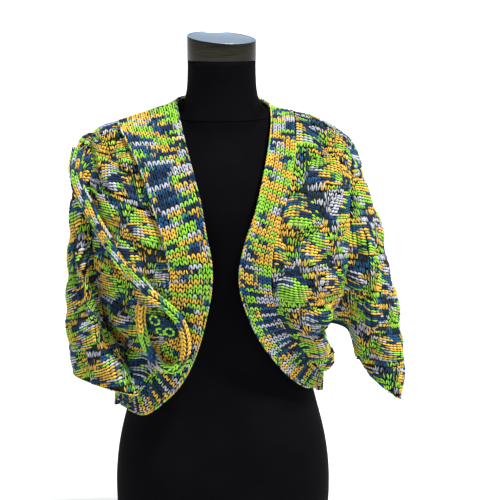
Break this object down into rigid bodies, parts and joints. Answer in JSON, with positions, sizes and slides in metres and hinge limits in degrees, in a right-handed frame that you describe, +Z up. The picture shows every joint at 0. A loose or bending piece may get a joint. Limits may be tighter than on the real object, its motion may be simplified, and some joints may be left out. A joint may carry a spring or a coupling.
{
  "type": "knitted cardigan on a dress form",
  "caption": "Cropped open-front hand-knit cardigan with wide elbow-length sleeves and a looped tie, on a limbless black dress form with a metal neck cap.",
  "frame": {"origin": "on the surface that the dress form stands on, under the middle of its base", "axes": "+Z is up, the front of the garment faces -Y, and the wearer's left is at +X"},
  "size_m": [0.5521, 0.2838, 0.8826],
  "materials": {
    "yarn_mixed": "matte",
    "yarn_lime": "matte",
    "yarn_gold": "matte",
    "yarn_grey": "matte",
    "yarn_tie": "matte",
    "yarn_leaf": "matte",
    "jersey": "matte",
    "steel": "brushed"
  },
  "bodies": {
    "root": {"front_right": "yarn_lime", "front_left": "yarn_lime", "back": "yarn_gold", "sleeve_right": "yarn_grey", "sleeve_left": "yarn_grey", "band_right": "yarn_mixed", "band_left": "yarn_mixed", "band_neck": "yarn_mixed", "band_hem": "yarn_mixed", "tie_strap": "yarn_tie", "tie_loop": "yarn_tie", "leaf_tab": "yarn_leaf", "form_torso": "jersey", "form_cap": "steel"}
  },
  "joints": []
}
